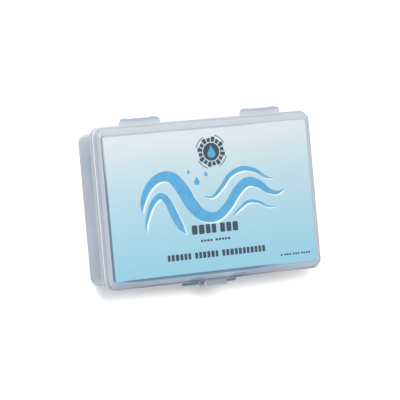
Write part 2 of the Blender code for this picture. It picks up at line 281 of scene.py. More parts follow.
# ------------------------------------------------------------------ node helpers
class Nodes:
    def __init__(self, name):
        self.mat = bpy.data.materials.new(name)
        self.mat.use_nodes = True
        self.tree = self.mat.node_tree
        self.tree.nodes.clear()
        self.out = self.add("ShaderNodeOutputMaterial")
        self.coord = self.add("ShaderNodeTexCoord").outputs["Object"]

    def add(self, kind, **values):
        node = self.tree.nodes.new(kind)
        for key, value in values.items():
            setattr(node, key, value)
        return node

    def put(self, socket, value):
        if isinstance(value, bpy.types.NodeSocket):
            self.tree.links.new(value, socket)
        elif isinstance(value, (tuple, list)) and len(value) == 3 and socket.type == "RGBA":
            socket.default_value = (*value, 1.0)
        else:
            socket.default_value = value

    def noise(self, scale, detail=2.0, rough=0.5, vector=None, distortion=0.0):
        n = self.add("ShaderNodeTexNoise")
        self.put(n.inputs["Vector"], vector or self.coord)
        n.inputs["Scale"].default_value = scale
        n.inputs["Detail"].default_value = detail
        n.inputs["Roughness"].default_value = rough
        n.inputs["Distortion"].default_value = distortion
        return n.outputs["Fac"]

    def math(self, op, a, b=0.0, clamp=False):
        n = self.add("ShaderNodeMath", operation=op, use_clamp=clamp)
        self.put(n.inputs[0], a)
        self.put(n.inputs[1], b)
        return n.outputs[0]

    def ramp(self, value, lo, hi, to_lo=0.0, to_hi=1.0, smooth=True):
        n = self.add("ShaderNodeMapRange", clamp=True)
        if smooth:
            n.interpolation_type = "SMOOTHSTEP"
        self.put(n.inputs["Value"], value)
        n.inputs["From Min"].default_value = lo
        n.inputs["From Max"].default_value = hi
        n.inputs["To Min"].default_value = to_lo
        n.inputs["To Max"].default_value = to_hi
        return n.outputs["Result"]

    def mix(self, fac, a, b, blend="MIX"):
        n = self.add("ShaderNodeMix", data_type="RGBA", blend_type=blend)
        self.put(n.inputs["Factor"], fac)
        sockets = [s for s in n.inputs if s.type == "RGBA"]
        self.put(sockets[0], a)
        self.put(sockets[1], b)
        return [s for s in n.outputs if s.type == "RGBA"][0]

    def split(self, vector=None):
        n = self.add("ShaderNodeSeparateXYZ")
        self.put(n.inputs[0], vector or self.coord)
        return n.outputs

    def centred(self, value):
        """A value around 0.5 as a vector around nought."""
        n = self.add("ShaderNodeCombineXYZ")
        off = self.math("SUBTRACT", value, 0.5)
        for k, share in enumerate((1.0, -0.8, 0.6)):
            self.put(n.inputs[k], self.math("MULTIPLY", off, share))
        return n.outputs[0]

    def bump(self, height, strength, distance):
        n = self.add("ShaderNodeBump")
        n.inputs["Strength"].default_value = strength
        n.inputs["Distance"].default_value = distance
        self.put(n.inputs["Height"], height)
        return n.outputs["Normal"]

    def principled(self, **values):
        n = self.add("ShaderNodeBsdfPrincipled")
        for key, value in values.items():
            self.put(n.inputs[key.replace("_", " ")], value)
        self.tree.links.new(n.outputs[0], self.out.inputs["Surface"])
        return n


def srgb(r, g, b):
    """Linear colour from 0 to 255 display values."""
    return tuple((c / 255 / 12.92) if c / 255 <= 0.04045 else ((c / 255 + 0.055) / 1.055) ** 2.4
                 for c in (r, g, b))


def scaled(colour, k):
    return tuple(c * k for c in colour)


# ------------------------------------------------------------------ materials
# paint strengths that bring a face turned up to its listed display colour
TONE, PRINT = 0.80, 0.585


def frosted(name, tint, foot, clear=0.28, rough=0.34, bar=0.0, gain=1.0, lid=False):
    """Frosted polypropylene: milky body with a share of blurred see-through.

    tint is the colour over most of the piece and foot the darker colour along its
    latch side, painted shade; bar is how strongly the blue block inside shows through the walls.
    """
    m = Nodes(name)
    tint, foot = scaled(srgb(*tint), TONE * gain), scaled(srgb(*foot), TONE * gain)
    x, y, z = m.split()
    face = m.split(m.add("ShaderNodeTexCoord").outputs["Normal"])[2]
    cloud = m.noise(55.0, 3.0, 0.55)
    streak = m.noise(22.0, 2.0, 0.5, distortion=1.5)
    # painted shade: the colour turns to the darker foot colour towards the latch side
    colour = m.mix(m.ramp(y, -0.030, -0.0385), tint, foot)
    colour = m.mix(m.ramp(cloud, 0.3, 0.7, 0.0, 0.30), colour, scaled(tint, 0.90))
    colour = m.mix(m.ramp(streak, 0.35, 0.75, 0.0, 0.35), colour,
                   (tint[0] * 0.93, tint[1] * 0.985, tint[2] * 1.04))
    # painted shade darkens the left end's border and walls
    left = m.math("MULTIPLY", m.ramp(x, -0.0535, -0.0565), m.ramp(y, 0.0385, 0.0345))
    colour = m.mix(left, colour, (tint[0] * 0.655, tint[1] * 0.73, tint[2] * 0.82))
    if lid:
        # painted shade: a soft dark band on the rim along the print's lower edge, and darker marks on
        # the rim above the catch ears
        across = m.math("MULTIPLY", m.ramp(x, -0.050, -0.040), m.ramp(x, 0.030, 0.016))
        print_edge_shade = m.math("MULTIPLY", m.ramp(y, -0.03695, -0.0364, 0.0, 0.85), across)
        print_edge_shade = m.math("MULTIPLY", print_edge_shade, m.ramp(y, -0.0355, -0.0362))
        colour = m.mix(print_edge_shade, colour, (foot[0] * 0.55, foot[1] * 0.66, foot[2] * 0.74))
        off = m.math("ABSOLUTE", x)
        ear_rim_shade = m.math("MULTIPLY", m.ramp(off, 0.0066, 0.0090), m.ramp(off, 0.0165, 0.0140))
        ear_rim_shade = m.math("MULTIPLY", ear_rim_shade, m.ramp(y, -0.0371, -0.0384))
        colour = m.mix(ear_rim_shade, colour, (foot[0] * 0.60, foot[1] * 0.70, foot[2] * 0.77))
        # painted light: the rim's latch-side edge is lifted paler towards both ends
        ends = m.math("MAXIMUM", m.ramp(x, 0.012, 0.046),
                      m.ramp(x, -0.034, -0.048, 0.0, 0.55))
        ends = m.math("MULTIPLY", ends, m.ramp(y, -0.0380, -0.0392))
        colour = m.mix(ends, colour, scaled(srgb(222, 226, 231), TONE))
        # from inside, the back of the print shows through the roof
        behind = m.math("MULTIPLY", m.ramp(face, -0.5, -0.8), m.ramp(z, 0.0245, 0.0255))
        behind = m.math("MULTIPLY", behind, m.ramp(m.math("ABSOLUTE", x), 0.0562, 0.0550))
        behind = m.math("MULTIPLY", behind, m.ramp(m.math("ABSOLUTE", y), 0.0362, 0.0350))
        through = m.ramp(y, -0.036, 0.036, 0.0, 1.0, smooth=False)
        colour = m.mix(m.math("MULTIPLY", behind, 0.62), colour, m.mix(
            through, scaled(srgb(158, 196, 216), TONE), scaled(srgb(206, 219, 228), TONE)))
        # painted light: the recess wall at the print's right edge is lifted pale so no shade line shows
        wall_side = m.math("MULTIPLY", m.ramp(x, 0.0550, 0.0552), m.ramp(x, 0.05565, 0.0555))
        wall_side = m.math("MULTIPLY", wall_side, m.ramp(m.math("ABSOLUTE", y), 0.0362, 0.0356))
        colour = m.mix(wall_side, colour, (0.60, 0.66, 0.71))
        # painted light: the latch-side border is lifted paler towards its right end
        end = m.math("MULTIPLY", m.ramp(x, 0.034, 0.050), m.ramp(y, -0.034, -0.037))
        colour = m.mix(m.math("MULTIPLY", end, 0.55), colour, scaled(srgb(190, 199, 210), TONE))
    if name == "pp_latch":
        # painted light: the tab's left cheek is lifted pale where it sits in shade beside the ear
        lit_cheek = m.ramp(x, -0.00555, -0.00575)
        colour = m.mix(m.math("MULTIPLY", lit_cheek, 0.9), colour, (0.90, 0.94, 0.97))
    # painted shade on the hinge hoods' rounded backs
    back = m.math("MULTIPLY", m.ramp(y, 0.0412, 0.0419), m.ramp(x, -0.010, 0.020, 1.0, 0.82))
    colour = m.mix(back, colour, (tint[0] * 0.70, tint[1] * 0.76, tint[2] * 0.83))
    # painted shade: walls are darker than flat faces, broken up by drawn streaks in the plastic
    lines = m.add("ShaderNodeMapping")
    lines.inputs["Scale"].default_value = (0.035, 0.035, 1.0)
    m.put(lines.inputs["Vector"], m.coord)
    drawn = m.noise(900.0, 2.0, 0.5, vector=lines.outputs[0])
    wall = m.ramp(m.math("ABSOLUTE", face), 0.85, 0.35)
    colour = m.mix(m.math("MULTIPLY", wall, m.ramp(drawn, 0.35, 0.65, 0.55, 1.0)),
                   colour, scaled(tint, 0.80), "MIX")
    # painted highlight where light gathers at the rim's moulded edges
    edge = m.math("MULTIPLY", m.ramp(face, 0.25, 0.55), m.ramp(face, 0.93, 0.72))
    top_rim = m.math("MULTIPLY", m.ramp(z, (RIM_TOP - 0.62) * MM, (RIM_TOP - 0.45) * MM),
                     m.ramp(z, (RIM_TOP + 0.10) * MM, (RIM_TOP + 0.03) * MM))
    bright = scaled(srgb(236, 242, 250), TONE * 1.15)
    away = m.math("MULTIPLY", m.ramp(y, -0.0385, -0.034, 0.25, 1.0), m.ramp(y, 0.0403, 0.0400))
    colour = m.mix(m.math("MULTIPLY", m.math("MULTIPLY", edge, top_rim), away), colour, bright)
    # painted shade greys the end border on the right
    right = m.math("MULTIPLY", m.ramp(x, 0.0545, 0.0558), m.ramp(y, 0.038, 0.034))
    colour = m.mix(m.math("MULTIPLY", right, 0.6), colour, scaled(srgb(176, 186, 197), TONE))
    if bar:
        low = m.ramp(z, 0.0185, 0.0198, 1.0, 0.0)
        inside = m.math("MULTIPLY", m.ramp(m.math("ABSOLUTE", x), 0.0562, 0.0558),
                        m.ramp(m.math("ABSOLUTE", y), 0.0368, 0.0364))
        colour = m.mix(m.math("MULTIPLY", inside, 0.8), colour, scaled(srgb(212, 219, 227), TONE))
        low = m.math("MULTIPLY", low, m.math("SUBTRACT", 1.0, inside))
        # painted shade: the walls darken and turn bluer higher up and towards the latch side
        along = m.math("MAXIMUM", m.ramp(y, 0.036, 0.009, 0.0, 0.6), m.ramp(y, 0.012, -0.034))
        depth = m.math("MULTIPLY", m.ramp(z, -0.004, 0.014), along)
        depth = m.math("MAXIMUM", depth, m.ramp(y, -0.024, -0.037, 0.0, 0.9))
        # the shaded end of the tray is the deepest; the other walls stay paler
        depth = m.math("MULTIPLY", depth, m.ramp(x, -0.0445, -0.0505, 0.28, 1.0))
        colour = m.mix(m.math("MULTIPLY", depth, low), colour,
                       (tint[0] * 0.40, tint[1] * 0.51, tint[2] * 0.63))
        blue = scaled(srgb(128, 152, 190), TONE * 0.82)
        near = m.math("MULTIPLY", m.ramp(y, 0.000, 0.017), m.ramp(y, 0.0315, 0.0255))
        near = m.math("MULTIPLY", near, m.ramp(z, 0.004, 0.0145))
        spot = m.math("MULTIPLY", m.ramp(y, -0.0295, -0.0235), m.ramp(y, -0.0140, -0.0200))
        spot = m.math("MULTIPLY", spot, m.ramp(z, 0.006, 0.0150, 0.0, 0.8))
        end = m.math("MULTIPLY", m.math("MAXIMUM", near, spot), m.ramp(x, -0.050, -0.056))
        round_about = m.math("MULTIPLY", m.ramp(cloud, 0.42, 0.66, 0.0, 0.55),
                             m.ramp(z, 0.001, 0.007))
        show = m.math("MULTIPLY", m.math("MAXIMUM", end, round_about), low)
        colour = m.mix(m.math("MULTIPLY", show, bar), colour, blue)
        # painted shade darkens the catch ears under the rim; painted light keeps the shadowed ledge
        # between them pale
        catch = m.math("MULTIPLY", m.ramp(y, -0.0392, -0.0402), m.ramp(z, 0.0210, 0.0204))
        across = m.math("ABSOLUTE", x)
        ears = m.math("MULTIPLY", catch, m.ramp(across, 0.00690, 0.00705))
        lit_bay = m.math("MULTIPLY", catch, m.ramp(across, 0.00705, 0.00690))
        lit_bay = m.math("MULTIPLY", lit_bay, m.ramp(x, -0.0040, -0.0054, 0.25, 1.0))
        colour = m.mix(ears, colour, (foot[0] * 0.47, foot[1] * 0.54, foot[2] * 0.57))
        colour = m.mix(lit_bay, colour, scaled(srgb(232, 238, 242), TONE))
        dull = m.math("SUBTRACT", 1.0, ears)
    grain = m.noise(5200.0, 2.0, 0.6)
    wave = m.noise(130.0, 1.0, 0.5)
    height = m.math("ADD", m.math("MULTIPLY", grain, 0.35), m.math("MULTIPLY", wave, 0.65))
    m.principled(
        Base_Color=colour,
        Roughness=m.ramp(wave, 0.3, 0.7, rough - 0.04, rough + 0.06),
        IOR=1.49,
        Specular_IOR_Level=m.math("MULTIPLY", dull, 0.55) if bar else 0.55,
        Transmission_Weight=m.math("MULTIPLY", dull, clear) if bar else clear,
        Coat_Weight=m.math("MULTIPLY", dull, 0.35) if bar else 0.35,
        Coat_Roughness=0.16,
        Normal=m.bump(height, 0.10, 0.0002),
    )
    return m.mat


PP_BASE = frosted("pp_base", (183, 193, 203), (168, 182, 194), bar=1.0)
PP_LID = frosted("pp_lid", (206, 212, 221), (141, 160, 183), lid=True)
PP_LATCH = frosted("pp_latch", (146, 163, 172), (138, 154, 164), clear=0.15)


def label_material():
    """Printed film: a pale to mid blue gradient, fine screen grain, painted shade along its edges."""
    m = Nodes("label_print")
    x, y, z = m.split()
    lo, hi = lab_lo, lab_hi
    cloud = m.noise(16.0, 2.0, 0.5)
    lift = m.math("ADD", y, m.math("MULTIPLY", m.math("SUBTRACT", cloud, 0.5), 0.010))
    stops = m.add("ShaderNodeValToRGB")
    stops.color_ramp.interpolation = "B_SPLINE"
    m.put(stops.inputs[0], m.ramp(lift, lo[1] * MM, hi[1] * MM, smooth=False))
    table = [
        (0.00, (152, 208, 229)), (0.10, (155, 211, 231)), (0.20, (162, 212, 232)),
        (0.35, (173, 217, 233)), (0.50, (184, 220, 233)), (0.64, (196, 224, 234)),
        (0.78, (207, 228, 235)), (0.92, (224, 234, 240)), (1.00, (227, 234, 241)),
    ]
    ramp = stops.color_ramp
    while len(ramp.elements) < len(table):
        ramp.elements.new(0.5)
    for e, (pos, c) in zip(ramp.elements, table):
        e.position = pos
        e.color = (*scaled(srgb(*c), PRINT), 1.0)
    colour = stops.outputs["Color"]
    screen = m.noise(2600.0, 1.0, 0.5)
    colour = m.mix(m.ramp(screen, 0.35, 0.65, 0.0, 0.03), colour,
                   scaled(srgb(120, 190, 225), PRINT))
    # painted shade: dark lines along the print's left and bottom edges, and a lavender one along its top
    # edge
    left = m.ramp(x, (lo[0] + 0.55) * MM, (lo[0] + 0.95) * MM, 1.0, 0.0)
    left = m.math("MULTIPLY", left, m.ramp(y, 0.032, 0.002, 0.35, 1.0))
    foot = m.ramp(y, (lo[1] + 0.5) * MM, (lo[1] + 0.9) * MM, 1.0, 0.0)
    foot = m.math("MULTIPLY", foot, m.ramp(x, 0.022, 0.038, 1.0, 0.0))
    foot = m.math("MULTIPLY", foot, m.ramp(x, -0.0535, -0.0480, 0.15, 1.0))
    head = m.math("MULTIPLY", m.ramp(y, (hi[1] - 0.8) * MM, (hi[1] - 0.4) * MM),
                  m.ramp(x, 0.018, 0.034, 1.0, 0.0))
    colour = m.mix(m.math("MULTIPLY", head, 0.55), colour, scaled(srgb(170, 172, 208), PRINT))
    colour = m.mix(m.math("MULTIPLY", m.math("MAXIMUM", left, foot), 0.85), colour,
                   scaled(srgb(76, 112, 140), PRINT))
    m.principled(
        Base_Color=colour, Roughness=m.ramp(cloud, 0.3, 0.7, 0.24, 0.32),
        Specular_IOR_Level=0.45, Coat_Weight=0.15, Coat_Roughness=0.12,
        Normal=m.bump(m.noise(90.0, 2.0, 0.5), 0.04, 0.0003),
    )
    return m.mat


def ink(name, colour, rough=0.3):
    m = Nodes(name)
    cloud = m.noise(300.0, 2.0, 0.5)
    m.principled(
        Base_Color=m.mix(m.ramp(cloud, 0.3, 0.7), scaled(colour, 0.94), scaled(colour, 1.05)),
        Roughness=m.ramp(cloud, 0.3, 0.7, rough - 0.04, rough + 0.05),
        Specular_IOR_Level=0.4,
        Normal=m.bump(m.noise(3000.0, 1.0, 0.5), 0.05, 0.0001),
    )
    return m.mat


INK_BLUE = ink("ink_blue", scaled(srgb(92, 174, 220), PRINT))
INK_WHITE = ink("ink_white", scaled(srgb(236, 247, 252), PRINT * 1.05))
INK_SLATE = ink("ink_slate", scaled(srgb(62, 80, 94), PRINT))
LABEL = label_material()


def paper():
    m = Nodes("label_paper")
    fibre = m.noise(1800.0, 4.0, 0.7)
    cloud = m.noise(30.0, 2.0, 0.5)
    tint = scaled(srgb(232, 238, 241), PRINT * 1.1)
    colour = m.mix(m.ramp(cloud, 0.3, 0.7), scaled(tint, 0.97), tint)
    colour = m.mix(m.ramp(fibre, 0.45, 0.75, 0.0, 0.06), colour, scaled(srgb(180, 186, 190), PRINT))
    m.principled(Base_Color=colour, Roughness=m.ramp(fibre, 0.3, 0.7, 0.46, 0.6),
                 Specular_IOR_Level=0.3, Normal=m.bump(fibre, 0.12, 0.00008))
    return m.mat


PAPER = paper()


def clay_material():
    """Kneadable clay: dense blue with paler waxy bloom, pits and a drawn grain."""
    m = Nodes("clay")
    stretch = m.add("ShaderNodeMapping")
    stretch.inputs["Scale"].default_value = (0.25, 1.0, 1.0)
    m.put(stretch.inputs["Vector"], m.coord)
    drawn = m.noise(420.0, 4.0, 0.6, vector=stretch.outputs[0], distortion=0.6)
    bloom = m.noise(85.0, 3.0, 0.6)
    pits = m.noise(1900.0, 3.0, 0.65)
    deep, mid, pale = (0.030, 0.150, 0.46), (0.055, 0.225, 0.60), (0.14, 0.34, 0.70)
    colour = m.mix(m.ramp(drawn, 0.3, 0.7), deep, mid)
    colour = m.mix(m.ramp(bloom, 0.5, 0.8, 0.0, 0.5), colour, pale)
    colour = m.mix(m.ramp(pits, 0.6, 0.78, 0.0, 0.35), colour, deep)
    height = m.math("ADD", m.math("MULTIPLY", drawn, 0.6), m.math("MULTIPLY", pits, 0.4))
    m.principled(
        Base_Color=colour, Roughness=m.ramp(bloom, 0.35, 0.75, 0.42, 0.62),
        Specular_IOR_Level=0.4, Subsurface_Weight=0.12, Subsurface_Radius=(0.0008, 0.0014, 0.003),
        Subsurface_Scale=1.0, Normal=m.bump(height, 0.35, 0.00025),
    )
    return m.mat


def film_material():
    """Thin clear film: see-through, crumpled into facets, mirror-like at a glance."""
    m = Nodes("film")
    warp = m.noise(70.0, 3.0, 0.5)
    shift = m.add("ShaderNodeVectorMath", operation="SCALE")
    m.put(shift.inputs[0], m.centred(warp))
    shift.inputs["Scale"].default_value = 0.006
    bent = m.add("ShaderNodeVectorMath", operation="ADD")
    m.put(bent.inputs[0], m.coord)
    m.tree.links.new(shift.outputs[0], bent.inputs[1])
    lay = m.add("ShaderNodeMapping")
    lay.inputs["Scale"].default_value = (0.55, 1.0, 1.0)
    m.put(lay.inputs["Vector"], bent.outputs[0])
    cells = m.add("ShaderNodeTexVoronoi", feature="DISTANCE_TO_EDGE")
    cells.inputs["Scale"].default_value = 130.0
    m.put(cells.inputs["Vector"], lay.outputs[0])
    fold = cells.outputs["Distance"]
    fine = m.add("ShaderNodeTexVoronoi", feature="DISTANCE_TO_EDGE")
    fine.inputs["Scale"].default_value = 420.0
    m.put(fine.inputs["Vector"], bent.outputs[0])
    height = m.math("ADD", m.ramp(fold, 0.0, 0.35, smooth=False),
                    m.math("MULTIPLY", m.ramp(fine.outputs["Distance"], 0.0, 0.3, smooth=False), 0.12))
    normal = m.bump(height, 0.38, 0.0007)
    haze = m.noise(60.0, 3.0, 0.5)
    # reflection rises towards a grazing view; inner faces only let light through
    weight = m.add("ShaderNodeLayerWeight")
    weight.inputs["Blend"].default_value = 0.24
    m.put(weight.inputs["Normal"], normal)
    outside = m.math("SUBTRACT", 1.0, m.add("ShaderNodeNewGeometry").outputs["Backfacing"])
    clear = m.add("ShaderNodeBsdfTransparent")
    m.put(clear.inputs["Color"], (0.955, 0.97, 0.985))
    mirror = m.add("ShaderNodeBsdfPrincipled")
    m.put(mirror.inputs["Base Color"], (0.92, 0.95, 0.98))
    m.put(mirror.inputs["Metallic"], 1.0)
    m.put(mirror.inputs["Roughness"], m.ramp(haze, 0.3, 0.7, 0.16, 0.28))
    m.put(mirror.inputs["Normal"], normal)
    milk = m.add("ShaderNodeBsdfPrincipled")
    m.put(milk.inputs["Base Color"], (0.50, 0.58, 0.66))
    m.put(milk.inputs["Roughness"], m.ramp(haze, 0.3, 0.7, 0.35, 0.5))
    milky = m.add("ShaderNodeMixShader")
    sharp = m.math("MULTIPLY", m.ramp(fold, 0.0, 0.024, 0.26, 0.0), m.ramp(warp, 0.40, 0.60))
    m.put(milky.inputs[0], m.math("MULTIPLY", outside, m.math(
        "ADD", m.ramp(haze, 0.35, 0.7, 0.03, 0.09), sharp)))
    m.tree.links.new(clear.outputs[0], milky.inputs[1])
    m.tree.links.new(milk.outputs[0], milky.inputs[2])
    mix = m.add("ShaderNodeMixShader")
    m.put(mix.inputs[0], m.math("MULTIPLY", outside, m.math(
        "ADD", 0.03, m.math("MULTIPLY", weight.outputs["Fresnel"], 0.55)), clamp=True))
    m.tree.links.new(milky.outputs[0], mix.inputs[1])
    m.tree.links.new(mirror.outputs[0], mix.inputs[2])
    m.tree.links.new(mix.outputs[0], m.out.inputs["Surface"])
    return m.mat


CLAY = clay_material()
FILM = film_material()


def dress(obj, mat, body, slot, *nodes):
    obj.data.materials.clear()
    obj.data.materials.append(mat)
    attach(obj, body)
    if nodes:
        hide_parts(*nodes)
    return obj


# ------------------------------------------------------------------ base tray
def section(points, seg=6, side=0.0, corner=0.0):
    """Rings from a (distance in from the rim, height) path; side and corner are what
    the long walls' inset and the corner radius gain away from the rim."""
    out = []
    for d, z in rounded_path(points, seg):
        k = min(1.0, max(0.0, d / 1.6))
        r = RIM_R - d + corner * k
        out.append(ring(HX - d, HY - d - side * k, max(r, 0.9), z))
    return out


foot_z = 0.30
recess_x, recess_y = blab_hi[0] + 0.3, blab_hi[1] + 0.3
rings = [
    ring(recess_x - 0.3, recess_y - 0.3, 2.3, foot_z),
    ring(recess_x - 0.05, recess_y - 0.05, 2.55, foot_z),
    ring(recess_x, recess_y, 2.6, foot_z - 0.05),
    ring(recess_x, recess_y, 2.6, 0.08),
    ring(recess_x + 0.08, recess_y + 0.08, 2.68, 0.0),
    ring(recess_x + 0.4, recess_y + 0.4, 3.0, 0.0),
]
rings += section([
    (6.0, 0.0, 0), (1.9, 0.0, 1.4), (1.6, BASE_RIM - 2.85, 0.25), (0.0, BASE_RIM - 2.85, 0.45),
    (0.0, BASE_RIM, 0.3), (2.6, BASE_RIM, 0.12), (2.6, TONGUE_TOP, 0.35),
    (3.6, TONGUE_TOP, 0.35), (3.85, 1.5, 1.1), (7.5, 1.5, 0),
], side=SIDE_Y, corner=1.3)
base = to_object("case_base", loft(rings))

steps = []
for side in (-1, 1):
    near, far = side * 7.0, side * 13.8
    y_in = -HY + 3.3
    profile = ([(y_in, 13.8)] + arc(EAR_OUT + 0.6, 14.4, 0.6, 270, 180, 6)
               + arc(EAR_OUT + 0.7, 16.6, 0.7, 180, 150, 5)
               + [(-HY + 0.1, 20.4), (y_in, 20.4)])
    ear = to_object("ear", prism(profile, min(near, far), max(near, far)))
    outline = [(near, y_in + 1.0), (near, EAR_OUT + 0.2), (near + side * 0.2, EAR_OUT - 0.001)]
    outline += [(far - side * 0.45 * (1 - math.sin(t)), EAR_OUT + 0.45 * (1 - math.cos(t)))
                for t in (0.0, 0.25, 0.5, 0.75, 1.0, 1.25)]
    outline += [(far, EAR_OUT + 0.45), (far, y_in + 1.0)]
    combine(ear, [("INTERSECT", plate(outline, 13.0, 21.5))])
    soften(ear, 0.22, 3, 50)
    steps.append(("UNION", ear))
ledge = to_object("ledge", block(-7.3, 7.3, -41.2, -HY + 3.3, 17.1, 18.5))
soften(ledge, 0.25, 3)
steps.append(("UNION", ledge))
for side in (-1, 1):
    mid = side * HINGE_X + HINGE_SHIFT
    lug = to_object("lug", rod(mid - 5.75, mid + 5.75, HINGE_Y, HINGE_Z, 1.15))
    neck = block(mid - 5.74, mid + 5.74, HY - 0.8, HINGE_Y - 0.2, HINGE_Z - 0.75, HINGE_Z + 0.36)
    combine(lug, [("UNION", neck)])
    soften(lug, 0.12, 2, 50)
    steps.append(("UNION", lug))
    steps.append(("DIFFERENCE", rod(mid - 6.75, mid + 6.75, HINGE_Y, HINGE_Z, 0.70)))
# moulding marks: ejector pin witness rings on the floor
for x, y in ((-44.0, -27.0), (44.0, -27.0), (-44.0, 27.0), (44.0, 27.0)):
    steps.append(("DIFFERENCE", loft([
        [(x + 3.0 * math.cos(t / 24 * math.tau), y + 3.0 * math.sin(t / 24 * math.tau), z)
         for t in range(24)] for z in (1.42, 2.5)])))
combine(base, steps)
finish_mesh(base)
dress(base, PP_BASE, "base", "frosted_pp", "base_tray")

# ------------------------------------------------------------------ lid
lab_x, lab_y = lab_hi[0] - LABEL_TRIM, (lab_hi[1] - lab_lo[1]) / 2
lab_c = (lab_hi[1] + lab_lo[1]) / 2
rings = section([
    (7.5, TOP - 1.3, 0), (2.3, TOP - 1.3, 0.8), (2.3, LID_RIM, 0.15), (0.0, LID_RIM, 0.3),
    (0.0, RIM_TOP, 0.42), (1.2, RIM_TOP, 0.22), (1.28, TOP, 1.25), (2.9, TOP, 0),
])
rings += [
    ring(lab_x + 0.42, lab_y + 0.42, 2.2, TOP, cx=-LABEL_TRIM, cy=lab_c),
    ring(lab_x + 0.33, lab_y + 0.33, 2.13, TOP - 0.02, cx=-LABEL_TRIM, cy=lab_c),
    ring(lab_x + 0.28, lab_y + 0.28, 2.08, TOP - 0.07, cx=-LABEL_TRIM, cy=lab_c),
    ring(lab_x + 0.28, lab_y + 0.28, 2.08, TOP - 0.24, cx=-LABEL_TRIM, cy=lab_c),
    ring(lab_x + 0.20, lab_y + 0.20, 2.00, TOP - 0.25, cx=-LABEL_TRIM, cy=lab_c),
    ring(lab_x - 1.0, lab_y - 1.0, 1.0, TOP - 0.25, cx=-LABEL_TRIM, cy=lab_c),
]
lid = to_object("case_lid", loft(rings))
steps = []
# witness rings of the ejector pins and the gate's vestige, inside the roof
roof = TOP - 1.3
for x, y in ((-46.0, -28.0), (46.0, -28.0), (-46.0, 28.0), (46.0, 28.0)):
    steps.append(("DIFFERENCE", loft([
        [(x + 2.5 * math.cos(t / 24 * math.tau), y + 2.5 * math.sin(t / 24 * math.tau), z)
         for t in range(24)] for z in (roof - 1.0, roof + 0.08)])))
steps.append(("UNION", loft([
    [(r * math.cos(t / 24 * math.tau), r * math.sin(t / 24 * math.tau), z)
     for t in range(24)] for r, z in ((0.9, roof - 0.35), (1.15, roof - 0.2), (1.5, roof + 0.3))])))
for side in (-1, 1):
    mid = side * HINGE_X + HINGE_SHIFT
    outline = [(mid - 10.9, HY - 1.2)] + [
        (x, y) for x, y in arc(mid - 10.9 + 2.6, HOOD_OUT - 2.6, 2.6, 180, 90, 12)
    ] + [(x, y) for x, y in arc(mid + 10.9 - 2.6, HOOD_OUT - 2.6, 2.6, 90, 0, 12)
         ] + [(mid + 10.9, HY - 1.2)]
    hood = to_object("hood", plate(outline, LID_RIM + 0.003, HOOD_TOP))
    profile = ([(HY - 2.0, 20.0), (HY - 2.0, HOOD_TOP - 0.001)]
               + arc(HOOD_OUT - 1.5, HOOD_TOP - 1.5, 1.5, 90, 0, 14) + [(HOOD_OUT, 20.0)])
    combine(hood, [("INTERSECT", prism(profile, mid - 22, mid + 22))])
    soften(hood, 0.22, 3, 30)
    steps.append(("UNION", hood))
    knuckle = to_object("knuckle", rod(mid - 9.0, mid + 9.0, HINGE_Y, HINGE_Z, 1.5, 56))
    combine(knuckle, [("UNION", block(mid - 8.99, mid + 8.99, HINGE_Y - 1.48, HINGE_Y + 1.48,
                                      HINGE_Z, LID_RIM + 0.4))])
    soften(knuckle, 0.12, 2, 50)
    steps.append(("UNION", knuckle))
    steps.append(("DIFFERENCE", block(mid - 6.05, mid + 6.05, HY + 0.25, HY + 5.0,
                                      HINGE_Z - 4.0, HOOD_TOP - 0.63)))
    for end in (-1, 1):
        x0, x1 = mid + end * 3.15, mid + end * 6.85
        pin = to_object("pin", rod(min(x0, x1), max(x0, x1), HINGE_Y, HINGE_Z, 0.6))
        soften(pin, 0.12, 2, 50)
        steps.append(("UNION", pin))
combine(lid, steps)
finish_mesh(lid)
dress(lid, PP_LID, "lid_body", "frosted_pp", "lid")

# ------------------------------------------------------------------ latch tab
W = latch_hi[0]
ROOT, FACE, INNER = -HY - 0.3, LATCH_OUT + 0.4, LATCH_OUT + 1.8
# root level with the rim ledge, rounded shoulder, plain face, grip lip at the foot
latch = to_object("latch", prism(
    [(ROOT, RIM_TOP)] + arc(FACE + 1.5, RIM_TOP - 1.5, 1.5, 90, 180, 16)
    + [(FACE, LATCH_LOW + 1.75), (FACE - 0.06, LATCH_LOW + 1.5), (LATCH_OUT + 0.06, LATCH_LOW + 1.2),
       (LATCH_OUT, LATCH_LOW + 1.0)]
    + arc(LATCH_OUT + 0.5, LATCH_LOW + 0.5, 0.5, 180, 265, 8)
    + [(INNER, LATCH_LOW), (INNER, 18.9 + 0.2), (ROOT, 18.9 + 0.2)], -W, W))
# the two free corners are rounded on plan
round_off = ([(-W, -HY + 1.0)] + arc(-W + 0.9, LATCH_OUT + 0.9, 0.9, 180, 270, 10)
             + arc(W - 0.9, LATCH_OUT + 0.9, 0.9, 270, 360, 10) + [(W, -HY + 1.0)])
combine(latch, [("INTERSECT", plate(round_off, LATCH_LOW - 1.0, RIM_TOP + 1.0))])
soften(latch, 0.2, 3, 35)
bead = to_object("bead", rod(-5.0, 5.0, INNER + 0.2 - 0.7, 16.2, 0.7))
soften(bead, 0.25, 3, 50)
combine(latch, [("UNION", bead)])
finish_mesh(latch)
dress(latch, PP_LATCH, "latch", "frosted_pp", "latch_tab")

# the thin web the latch flexes on, between the lid's rim and the tab's root
bm = bmesh.new()
cols, rows = 24, 6
y0, y1 = -HY + 0.25, -HY - 0.55
grid = []
for i in range(cols + 1):
    line = []
    for k in range(rows + 1):
        t = k / rows
        line.append(bm.verts.new((-5.6 + 11.2 * i / cols, y0 + (y1 - y0) * t,
                                  RIM_TOP - 0.17 - 0.04 * math.sin(math.pi * t))))
    grid.append(line)
for i in range(cols):
    for k in range(rows):
        bm.faces.new((grid[i][k], grid[i + 1][k], grid[i + 1][k + 1], grid[i][k + 1]))
bmesh.ops.recalc_face_normals(bm, faces=bm.faces)
web = to_object("latch_web", bm)
thick = web.modifiers.new("thick", "SOLIDIFY")
thick.thickness = 0.28 * MM
thick.offset = 0.0
settle(web)
web.data.shade_smooth()
web.data.set_sharp_from_angle(angle=math.radians(40))
web.data.materials.append(PP_LATCH)
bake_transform(web)

